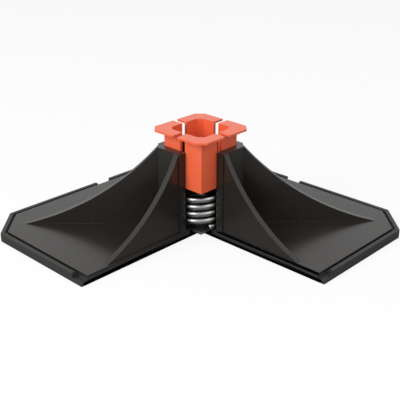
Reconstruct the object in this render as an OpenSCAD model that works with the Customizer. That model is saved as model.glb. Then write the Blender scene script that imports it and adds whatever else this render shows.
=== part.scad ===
// Raised floor pedestal: a square base with one quadrant left open, a ribbed
// tower that stands in its middle, and a slotted square head carried on a coil spring.
// Origin: centre of the base at floor level. +X and +Y run along the base's sides, and
// the open quadrant lies towards +X and -Y.

/* [Base] */
// Width of the base over its rim
base_w = 200; // [170:1:260]
// Height of the rim, which the deck is flush with
rim_h = 5.9; // [5:0.1:9]
// Thickness of the rim wall
rim_t = 2.65; // [1.5:0.05:4]
// Leg of the chamfer at each corner of the base
corner_leg = 21.2; // [10:0.1:35]
// Thickness of the rubber pad under the tray
pad_t = 2.15; // [1:0.05:2.5]
// Thickness of the tray floor
floor_t = 1.95; // [1:0.05:2.2]
// Width of the gap between the rim and the deck
groove_w = 1.8; // [0.8:0.1:3]
// Length of the notch in the middle of each side of the rim
notch_len = 11.8; // [6:0.1:20]
// How far the open quadrant's faces stand past the centre lines
open_offset = 2.67; // [2.5:0.01:6]
// Radius of the hole in the middle of the deck and the tray floor
centre_hole_r = 12.7; // [10:0.1:14]
// Depth of the seal strip let into the right edge of the deck
seal_depth = 0.7; // [0.4:0.1:0.8]

/* [Tower] */
// Height of the tower's top above the floor
tower_h = 58.5; // [45:0.5:70]
// Width of the tower
tower_w = 42.6; // [40:0.1:50]
// Leg of the chamfer at each corner of the tower
tower_leg = 5.1; // [2:0.1:8]
// Width of the square socket in the tower
socket_w = 32.4; // [32.2:0.1:34]

/* [Gussets] */
// Thickness of the gussets
gusset_t = 3.66; // [2:0.02:5]
// Distance from the axis to the foot of a gusset at mid side
side_foot = 80; // [60:1:90]
// Depth of the curve of a gusset at mid side, under a straight line
side_sag = 7.2; // [2:0.1:9]
// Distance from the axis to the foot of a gusset on a diagonal
diagonal_foot = 113.5; // [80:0.5:116]
// Depth of the curve of a gusset on a diagonal, under a straight line
diagonal_sag = 7.8; // [2:0.1:9]

/* [Spring] */
// Wire diameter
wire_d = 3.9; // [2:0.1:4.2]
// Mean radius of the coils
coil_r = 13.4; // [11:0.1:13.6]
// Rise of one turn
coil_pitch = 4.85; // [4.5:0.05:5]
// Number of turns
coil_turns = 4.5; // [3:0.25:4.5]
// Bearing of the lower end of the wire, from +X
coil_start = -24; // [-90:1:90]

/* [Head] */
// Height of the head's top above the floor, with the spring at rest
head_top = 69.9; // [68:0.1:80]
// Height of the head's lower edge above the floor
head_bottom = 34.7; // [34:0.1:40]
// Width of the head's square tube
head_w = 31.8; // [31:0.1:32]
// Wall of the square tube
head_wall = 1.95; // [1.5:0.05:3.5]
// Leg of the chamfer at each inner corner of the tube
head_inner_leg = 3.3; // [0.5:0.1:6]
// Width over the flange
flange_w = 44.8; // [40:0.1:56]
// Thickness of the flange
flange_t = 1.45; // [1:0.05:5]
// Leg of the chamfer at each corner of the flange
flange_leg = 4.8; // [2:0.1:8]
// Width of the slots in the middle of each side
slot_w = 3.8; // [1:0.1:5]
// Height of the bottom of the slots above the floor
slot_bottom = 44; // [40:0.5:56]

/* [Hidden] */

slack = 1;
arc_fn = 360;
// How far under the tower's top the gussets start.
gusset_drop = 0.4;
base_half = base_w / 2;
pocket_half = base_half - rim_t;
deck_half = pocket_half - groove_w;
deck_z = pad_t + floor_t;
// A chamfer that runs parallel to another one, a distance d inside it.
function inner_leg(leg, d) = leg - d * (2 - sqrt(2));
// Outline of a square with chamfered corners, by its half width.
function chamfered(half, leg) = [
    for (turn = [0:3], end = [0, 1])
        let (p = end == 0 ? [half, half - leg] : [half - leg, half])
        [p[0] * cos(90 * turn) - p[1] * sin(90 * turn),
         p[0] * sin(90 * turn) + p[1] * cos(90 * turn)]
];

module chamfered_plate(half, leg, z0, z1) {
    translate([0, 0, z0]) linear_extrude(z1 - z0) polygon(chamfered(half, leg));
}

// The corner that the base leaves open, from one of its faces to the other.
module open_quadrant(z0, z1) {
    translate([open_offset, -base_w, z0]) cube([base_w, base_w - open_offset, z1 - z0]);
}

// Centred bar across the middle of each side, for notches and slots.
module mid_side_bars(width, from, to, z0, z1) {
    for (turn = [0:3]) rotate(90 * turn)
        translate([from, -width / 2, z0]) cube([to - from, width, z1 - z0]);
}

module base_pad() {
    color("#141414") difference() {
        chamfered_plate(pocket_half, inner_leg(corner_leg, rim_t), 0, pad_t);
        open_quadrant(-slack, pad_t + slack);
    }
}

module base_tray() {
    color("#4b4a48") difference() {
        chamfered_plate(base_half, corner_leg, 0, rim_h);
        chamfered_plate(pocket_half, inner_leg(corner_leg, rim_t), -slack, pad_t);
        chamfered_plate(pocket_half, inner_leg(corner_leg, rim_t), deck_z, rim_h + slack);
        cylinder(h = rim_h, r = centre_hole_r, $fn = 96);
        mid_side_bars(notch_len, deck_half, base_half + slack, pad_t + 0.05, rim_h + slack);
        open_quadrant(-slack, rim_h + slack);
    }
}

// Side view of a gusset: distance from the axis against height, hollowed by an arc
// that leaves the tower just under its top and runs out at the gusset's foot.
module gusset_profile(inner, foot, sag) {
    top = tower_h - gusset_drop;
    rise = top - rim_h;
    run = foot - inner;
    chord = sqrt(run * run + rise * rise);
    arc_r = (chord * chord / 4 + sag * sag) / (2 * sag);
    reach = arc_r - sag;
    difference() {
        translate([inner - slack, rim_h - slack])
            square([run + 2 * slack, rise + slack + gusset_drop / 2]);
        translate([(inner + foot) / 2 + reach * rise / chord,
                   (top + rim_h) / 2 + reach * run / chord])
            circle(r = arc_r, $fn = arc_fn);
    }
}

module gusset(bearing, inner, foot, sag) {
    rotate(bearing) rotate([90, 0, 0]) translate([0, 0, -gusset_t / 2])
        linear_extrude(gusset_t) gusset_profile(inner, foot, sag);
}

module deck_tower() {
    tower_half = tower_w / 2;
    tower_corner = (tower_w - tower_leg) / sqrt(2);
    color("#5a5856") difference() {
        union() {
            difference() {
                union() {
                    chamfered_plate(deck_half, inner_leg(corner_leg, rim_t + groove_w),
                                    deck_z, rim_h);
                    chamfered_plate(tower_half, tower_leg, deck_z, tower_h);
                }
                open_quadrant(deck_z - slack, tower_h + slack);
            }
            for (bearing = [0, 90, 180, 270])
                gusset(bearing, tower_half, side_foot, side_sag);
            for (bearing = [45, 135, 225])
                gusset(bearing, tower_corner, diagonal_foot, diagonal_sag);
        }
        translate([-socket_w / 2, -socket_w / 2, rim_h])
            cube([socket_w, socket_w, tower_h]);
        translate([0, 0, deck_z - slack]) cylinder(h = rim_h, r = centre_hole_r, $fn = 96);
        seal_bar();
    }
}

module seal_bar() {
    start = socket_w / 2 + slack;
    translate([start, -open_offset, deck_z])
        cube([deck_half - start, seal_depth, rim_h - deck_z]);
}

module edge_seal() {
    color("#0d0d0d") seal_bar();
}

module centre_plate() {
    side = (centre_hole_r - 0.1) * sqrt(2);
    color("#8a8885") translate([-side / 2, -side / 2, pad_t]) cube([side, side, floor_t]);
}

// One ring of the wire's surface, at a share t of the way up the helix.
function wire_ring(t, sides) =
    let (turn = 360 * coil_turns * t,
         bearing = coil_start + turn,
         z = rim_h + wire_d / 2 + coil_pitch * coil_turns * t,
         tilt = atan(coil_pitch / (2 * PI * coil_r)))
    [for (k = [0:sides - 1])
        let (a = 360 * k / sides,
             out = wire_d / 2 * cos(a),
             up = wire_d / 2 * sin(a))
        [(coil_r + out) * cos(bearing) + up * sin(tilt) * sin(bearing),
         (coil_r + out) * sin(bearing) - up * sin(tilt) * cos(bearing),
         z + up * cos(tilt)]];

module spring() {
    sides = 12;
    rings = round(32 * coil_turns);
    points = [for (i = [0:rings]) each wire_ring(i / rings, sides)];
    skin = [for (i = [0:rings - 1], k = [0:sides - 1])
        let (a = i * sides + k, b = i * sides + (k + 1) % sides)
        [a, a + sides, b + sides, b]];
    ends = [[for (k = [0:sides - 1]) k],
            [for (k = [sides - 1:-1:0]) rings * sides + k]];
    color("#c4c6c8") polyhedron(points, concat(skin, ends));
}

// Disc that the spring pushes on, with a square spigot that fits in the tube.
module spring_cap() {
    spring_top = rim_h + wire_d + coil_pitch * coil_turns;
    spigot_half = head_w / 2 - head_wall - 0.05;
    color("#101010") union() {
        translate([0, 0, spring_top]) cylinder(h = head_bottom - spring_top, r = 15.3, $fn = 96);
        chamfered_plate(spigot_half, head_inner_leg, head_bottom - 0.01, head_bottom + 4);
    }
}

module head() {
    tube_half = head_w / 2;
    color("#e8622e") difference() {
        union() {
            translate([-tube_half, -tube_half, head_bottom])
                cube([head_w, head_w, head_top - head_bottom]);
            chamfered_plate(flange_w / 2, flange_leg, head_top - flange_t, head_top);
        }
        chamfered_plate(tube_half - head_wall, head_inner_leg, head_bottom - slack,
                        head_top + slack);
        mid_side_bars(slot_w, 0, flange_w, slot_bottom, head_top + slack);
    }
}

base_pad();
base_tray();
deck_tower();
edge_seal();
centre_plate();
spring();
spring_cap();
head();
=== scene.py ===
import math

import bmesh
import bpy
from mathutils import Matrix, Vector


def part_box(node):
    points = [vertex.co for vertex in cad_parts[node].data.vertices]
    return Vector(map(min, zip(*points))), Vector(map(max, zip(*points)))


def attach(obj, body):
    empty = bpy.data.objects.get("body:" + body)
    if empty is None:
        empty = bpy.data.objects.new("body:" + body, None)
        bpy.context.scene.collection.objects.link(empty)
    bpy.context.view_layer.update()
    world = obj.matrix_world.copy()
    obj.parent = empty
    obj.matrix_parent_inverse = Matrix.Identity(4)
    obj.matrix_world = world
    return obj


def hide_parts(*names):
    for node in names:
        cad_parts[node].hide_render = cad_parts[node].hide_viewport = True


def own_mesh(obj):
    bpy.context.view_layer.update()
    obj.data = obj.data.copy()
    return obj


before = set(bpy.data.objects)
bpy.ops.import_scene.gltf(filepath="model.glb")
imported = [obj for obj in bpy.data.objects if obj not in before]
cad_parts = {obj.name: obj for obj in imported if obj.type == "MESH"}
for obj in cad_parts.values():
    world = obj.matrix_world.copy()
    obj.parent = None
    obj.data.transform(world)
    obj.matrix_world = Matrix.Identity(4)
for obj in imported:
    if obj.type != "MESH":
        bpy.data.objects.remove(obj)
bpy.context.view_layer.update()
mm = 0.001
print("frame loaded")

# Surface of every piece: fine grain as relief, slow mottling of colour and roughness
skinValues = {"grainDetail": 3, "cloudScale": 35, "cloudDetail": 4, "roughnessSpread": 0.08}


def newGroup(name, inputs, outputs):
    group = bpy.data.node_groups.new(name, "ShaderNodeTree")
    for label, kind, value in inputs:
        socket = group.interface.new_socket(name=label, in_out="INPUT", socket_type=kind)
        socket.default_value = value
    for label, kind in outputs:
        group.interface.new_socket(name=label, in_out="OUTPUT", socket_type=kind)
    return group, group.nodes.new("NodeGroupInput"), group.nodes.new("NodeGroupOutput")


def addNoise(nodes, links, place, detail):
    noise = nodes.new("ShaderNodeTexNoise")
    noise.inputs["Detail"].default_value = detail
    links.new(place.outputs["Object"], noise.inputs["Vector"])
    return noise


def addMultiplyAdd(nodes, links, value, factor, offset):
    # A number is set on the socket, and an output of another node is linked to it
    step = nodes.new("ShaderNodeMath")
    step.operation = "MULTIPLY_ADD"
    for socket, source in zip(step.inputs, (value, factor, offset)):
        if isinstance(source, bpy.types.NodeSocket):
            links.new(source, socket)
        else:
            socket.default_value = source
    return step.outputs[0]


def makeMouldedSkin(values):
    group, given, result = newGroup(
        "mouldedSkin",
        [
            ("Colour", "NodeSocketColor", (0.1, 0.1, 0.1, 1)),
            ("Grain Scale", "NodeSocketFloat", 1500.0),
            ("Mottle", "NodeSocketFloat", 0.06),
            ("Roughness", "NodeSocketFloat", 0.45),
        ],
        [
            ("Colour", "NodeSocketColor"),
            ("Roughness", "NodeSocketFloat"),
            ("Height", "NodeSocketFloat"),
        ],
    )
    nodes, links = group.nodes, group.links
    place = nodes.new("ShaderNodeTexCoord")
    grain = addNoise(nodes, links, place, values["grainDetail"])
    links.new(given.outputs["Grain Scale"], grain.inputs["Scale"])
    cloud = addNoise(nodes, links, place, values["cloudDetail"])
    cloud.inputs["Scale"].default_value = values["cloudScale"]
    centred = addMultiplyAdd(nodes, links, cloud.outputs["Fac"], 2, -1)  # from -1 to 1
    bright = addMultiplyAdd(nodes, links, centred, given.outputs["Mottle"], 1)
    tint = nodes.new("ShaderNodeVectorMath")
    tint.operation = "SCALE"
    links.new(given.outputs["Colour"], tint.inputs[0])
    links.new(bright, tint.inputs["Scale"])
    rough = addMultiplyAdd(nodes, links, centred, values["roughnessSpread"], given.outputs["Roughness"])
    links.new(tint.outputs["Vector"], result.inputs["Colour"])
    links.new(rough, result.inputs["Roughness"])
    links.new(grain.outputs["Fac"], result.inputs["Height"])
    return group


mouldedSkin = makeMouldedSkin(skinValues)
print("surface group made")

mouldedGrain = {"grainScale": 1500, "mottle": 0.06, "relief": 0.020 * mm}
metalGrain = {"grainScale": 900, "mottle": 0.03, "relief": 0.004 * mm}


def makePlastic(name, values, grain=mouldedGrain):
    material = bpy.data.materials.new(name)
    material.use_nodes = True
    nodes, links = material.node_tree.nodes, material.node_tree.links
    shader = nodes["Principled BSDF"]
    skin = nodes.new("ShaderNodeGroup")
    skin.node_tree = mouldedSkin
    skin.inputs["Colour"].default_value = (*values["colour"], 1)
    skin.inputs["Grain Scale"].default_value = grain["grainScale"]
    skin.inputs["Mottle"].default_value = grain["mottle"]
    skin.inputs["Roughness"].default_value = values["roughness"]
    bump = nodes.new("ShaderNodeBump")
    bump.inputs["Distance"].default_value = grain["relief"]
    links.new(skin.outputs["Height"], bump.inputs["Height"])
    links.new(skin.outputs["Colour"], shader.inputs["Base Color"])
    links.new(skin.outputs["Roughness"], shader.inputs["Roughness"])
    links.new(bump.outputs["Normal"], shader.inputs["Normal"])
    shader.inputs["Specular IOR Level"].default_value = values["specular"]
    return material


def makeMetal(name, values):
    material = makePlastic(name, values, metalGrain)
    material.node_tree.nodes["Principled BSDF"].inputs["Metallic"].default_value = 1
    return material


# How a CAD piece becomes a moulded one: angles in degrees
roundingValues = {"weld": 0.002 * mm, "flatAngle": 0.5, "smoothAngle": 8, "bevelAngle": 25, "segments": 2}


def roundedCopy(node, name, values, material, body):
    # The CAD piece with its sharp edges broken
    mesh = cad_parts[node].data.copy()
    mesh.materials.clear()
    work = bmesh.new()
    work.from_mesh(mesh)
    bmesh.ops.remove_doubles(work, verts=work.verts, dist=roundingValues["weld"])
    bmesh.ops.dissolve_limit(
        work,
        angle_limit=math.radians(roundingValues["flatAngle"]),
        verts=work.verts,
        edges=work.edges,
        delimit=set(),
    )
    work.to_mesh(mesh)
    work.free()
    for polygon in mesh.polygons:
        polygon.use_smooth = True
    mesh.set_sharp_from_angle(angle=math.radians(roundingValues["smoothAngle"]))
    piece = bpy.data.objects.new(name, mesh)
    bpy.context.scene.collection.objects.link(piece)
    bevel = piece.modifiers.new("brokenEdges", "BEVEL")
    bevel.width = values["edge"]
    bevel.segments = roundingValues["segments"]
    bevel.limit_method = "ANGLE"
    bevel.angle_limit = math.radians(roundingValues["bevelAngle"])
    bevel.harden_normals = True
    mesh.materials.append(material)
    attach(piece, body)
    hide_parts(node)
    print("built", name)


trayValues = {"edge": 0.30 * mm, "colour": (0.030, 0.029, 0.028), "roughness": 0.50, "specular": 0.28}
trayPlastic = makePlastic("trayPlastic", trayValues)
roundedCopy("base_tray", "baseTray", trayValues, trayPlastic, "base")

# Dark grey plastic, warmed a little: the warmth is a painted reflection of warm light on the deck's top
deckValues = {"edge": 0.35 * mm, "colour": (0.0185, 0.0160, 0.0138), "roughness": 0.27, "specular": 0.42}
deckPlastic = makePlastic("deckPlastic", deckValues)
roundedCopy("deck_tower", "deckTower", deckValues, deckPlastic, "base")

padValues = {"edge": 0.15 * mm, "colour": (0.0015, 0.0015, 0.0015), "roughness": 0.90, "specular": 0.02}
padRubber = makePlastic("padRubber", padValues)
roundedCopy("base_pad", "basePad", padValues, padRubber, "base")

sealValues = {"edge": 0.08 * mm, "colour": (0.0015, 0.0015, 0.0015), "roughness": 0.85, "specular": 0.02}
sealRubber = makePlastic("sealRubber", sealValues)
roundedCopy("edge_seal", "edgeSeal", sealValues, sealRubber, "base")

plateValues = {"edge": 0.15 * mm, "colour": (0.45, 0.45, 0.44), "roughness": 0.40, "specular": 0.50}
plateSteel = makeMetal("plateSteel", plateValues)
roundedCopy("centre_plate", "centrePlate", plateValues, plateSteel, "base")

# The cap is a real piece; its near-black colour is painted shade from inside the socket
capValues = {"edge": 0.30 * mm, "colour": (0.0020, 0.0020, 0.0020), "roughness": 0.80, "specular": 0.03}
capPlastic = makePlastic("capPlastic", capValues)
roundedCopy("spring_cap", "springCap", capValues, capPlastic, "head")

headValues = {"edge": 0.20 * mm, "colour": (0.90, 0.145, 0.058), "roughness": 0.34, "specular": 0.55}
headPlastic = makePlastic("headPlastic", headValues)
roundedCopy("head", "slottedHead", headValues, headPlastic, "head")

springValues = {
    "wire": 3.9 * mm,
    "coilRadius": 13.4 * mm,
    "turns": 4.5,
    "start": -24,  # bearing of the lower end, degrees from +X
    "sides": 28,
    "ringsPerTurn": 72,
    "colour": (0.34, 0.345, 0.34),
    "roughness": 0.28,
    "specular": 0.50,
}
# Steel for the wire's cut ends: rougher, and darker as painted shade over their highlight
shadedCutValues = {"colour": (0.10, 0.10, 0.10), "roughness": 0.45, "specular": 0.50}


def wireLoops(work, values, low, rise):
    # Rings of vertices round the wire, from its lower end to its upper end
    wireRadius = values["wire"] / 2
    rings = round(values["turns"] * values["ringsPerTurn"])
    pitch = rise / values["turns"]
    tilt = math.atan(pitch / (2 * math.pi * values["coilRadius"]))
    angles = [2 * math.pi * side / values["sides"] for side in range(values["sides"])]
    loops = []
    for ring in range(rings + 1):
        share = ring / rings
        bearing = math.radians(values["start"] + 360 * values["turns"] * share)
        outward = Vector((math.cos(bearing), math.sin(bearing), 0))
        along = Vector((-math.sin(bearing), math.cos(bearing), 0))
        upward = Vector((0, 0, math.cos(tilt))) - along * math.sin(tilt)
        centre = outward * values["coilRadius"]
        centre.z = low.z + wireRadius + rise * share
        loop = []
        for angle in angles:
            across = outward * math.cos(angle) + upward * math.sin(angle)
            loop.append(work.verts.new(centre + across * wireRadius))
        loops.append(loop)
    return loops


def makeSpring(values, steel, shadedCutSteel):
    low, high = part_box("spring")
    work = bmesh.new()
    loops = wireLoops(work, values, low, high.z - low.z - values["wire"])
    for lower, upper in zip(loops, loops[1:]):
        for side in range(values["sides"]):
            after = (side + 1) % values["sides"]
            work.faces.new((lower[side], upper[side], upper[after], lower[after]))
    work.faces.new(loops[0])
    work.faces.new(loops[-1][::-1])
    bmesh.ops.recalc_face_normals(work, faces=work.faces)
    mesh = bpy.data.meshes.new("coilSpring")
    work.to_mesh(mesh)
    work.free()
    mesh.materials.append(steel)
    mesh.materials.append(shadedCutSteel)
    for polygon in mesh.polygons:
        polygon.use_smooth = len(polygon.vertices) == 4
        polygon.material_index = 0 if polygon.use_smooth else 1  # the cut ends of the wire take the rougher steel, darkened as painted shade
    piece = bpy.data.objects.new("coilSpring", mesh)
    bpy.context.scene.collection.objects.link(piece)
    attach(piece, "base")
    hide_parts("spring")
    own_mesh(piece)
    print("built coilSpring")


makeSpring(springValues, makeMetal("springSteel", springValues), makeMetal("shadedCutSteel", shadedCutValues))

floorValues = {
    "size": 6.0,
    "drop": 0.2 * mm,
    "seen": 1.0,  # how pale the camera sees it
    "bounce": 0.38,  # how pale it is where it lights the object
    "glow": 0.86,  # share of plain white, which leaves a faint shadow
    "roughness": 0.8,
}


def makeFloor(values):
    half = values["size"] / 2
    mesh = bpy.data.meshes.new("floor")
    corners = [(-half, -half), (half, -half), (half, half), (-half, half)]
    mesh.from_pydata([(x, y, -values["drop"]) for x, y in corners], [], [(0, 1, 2, 3)])
    floor = bpy.data.objects.new("floor", mesh)
    bpy.context.scene.collection.objects.link(floor)
    material = bpy.data.materials.new("paleFloor")
    material.use_nodes = True
    nodes, links = material.node_tree.nodes, material.node_tree.links
    surface = nodes["Principled BSDF"]
    surface.inputs["Roughness"].default_value = values["roughness"]
    surface.inputs["Specular IOR Level"].default_value = 0
    lightPath = nodes.new("ShaderNodeLightPath")
    shade = nodes.new("ShaderNodeMapRange")
    shade.inputs["To Min"].default_value = values["bounce"]
    shade.inputs["To Max"].default_value = values["seen"]
    links.new(lightPath.outputs["Is Camera Ray"], shade.inputs["Value"])
    links.new(shade.outputs["Result"], surface.inputs["Base Color"])
    glow = nodes.new("ShaderNodeEmission")
    share = nodes.new("ShaderNodeMath")
    share.operation = "MULTIPLY"
    share.inputs[1].default_value = values["glow"]
    links.new(lightPath.outputs["Is Camera Ray"], share.inputs[0])
    mix = nodes.new("ShaderNodeMixShader")
    links.new(share.outputs[0], mix.inputs["Fac"])
    links.new(surface.outputs[0], mix.inputs[1])
    links.new(glow.outputs[0], mix.inputs[2])
    links.new(mix.outputs[0], nodes["Material Output"].inputs["Surface"])
    mesh.materials.append(material)


makeFloor(floorValues)
print("floor laid")

keyValues = {"place": (-0.15, -1.10, 0.66), "power": 12.5, "size": 0.7}
fillValues = {"place": (1.00, 0.10, 0.85), "power": 5.0, "size": 1.1}


def makeLamp(name, values):
    lamp = bpy.data.lights.new(name, "AREA")
    lamp.energy = values["power"]
    lamp.size = values["size"]
    lampObject = bpy.data.objects.new(name, lamp)
    lampObject.location = values["place"]
    lampObject.rotation_euler = (-Vector(values["place"])).to_track_quat("-Z", "Y").to_euler()
    bpy.context.scene.collection.objects.link(lampObject)


makeLamp("keyLight", keyValues)
makeLamp("fillLight", fillValues)

worldValues = {"colour": (1.0, 1.0, 1.0), "lit": 0.42, "seen": 1.0}


def makeWorld(values):
    # Soft light on the object, and plain white where the camera or a gloss sees it
    world = bpy.data.worlds.new("studio")
    bpy.context.scene.world = world
    world.use_nodes = True
    nodes, links = world.node_tree.nodes, world.node_tree.links
    background = nodes["Background"]
    background.inputs["Color"].default_value = (*values["colour"], 1)
    background.inputs["Strength"].default_value = values["lit"]
    white = nodes.new("ShaderNodeBackground")
    white.inputs["Color"].default_value = (*values["colour"], 1)
    white.inputs["Strength"].default_value = values["seen"]
    lightPath = nodes.new("ShaderNodeLightPath")
    either = nodes.new("ShaderNodeMath")
    either.operation = "MAXIMUM"
    links.new(lightPath.outputs["Is Camera Ray"], either.inputs[0])
    links.new(lightPath.outputs["Is Glossy Ray"], either.inputs[1])
    mix = nodes.new("ShaderNodeMixShader")
    links.new(either.outputs[0], mix.inputs["Fac"])
    links.new(background.outputs[0], mix.inputs[1])
    links.new(white.outputs[0], mix.inputs[2])
    links.new(mix.outputs[0], nodes["World Output"].inputs["Surface"])


makeWorld(worldValues)
print("lights in place")

cameraValues = {
    "place": (0.3106, -0.3242, 0.2230),
    "looks": (-0.6314, 0.6580, -0.4104),
    "lens": 68.97,
    "sensor": 36,
}


def makeCamera(values):
    camera = bpy.data.cameras.new("camera")
    camera.lens = values["lens"]
    camera.sensor_width = values["sensor"]
    cameraObject = bpy.data.objects.new("camera", camera)
    cameraObject.location = values["place"]
    cameraObject.rotation_euler = Vector(values["looks"]).to_track_quat("-Z", "Y").to_euler()
    bpy.context.scene.collection.objects.link(cameraObject)
    bpy.context.scene.camera = cameraObject


makeCamera(cameraValues)
bpy.context.scene.view_settings.view_transform = "Standard"
print("camera in place")
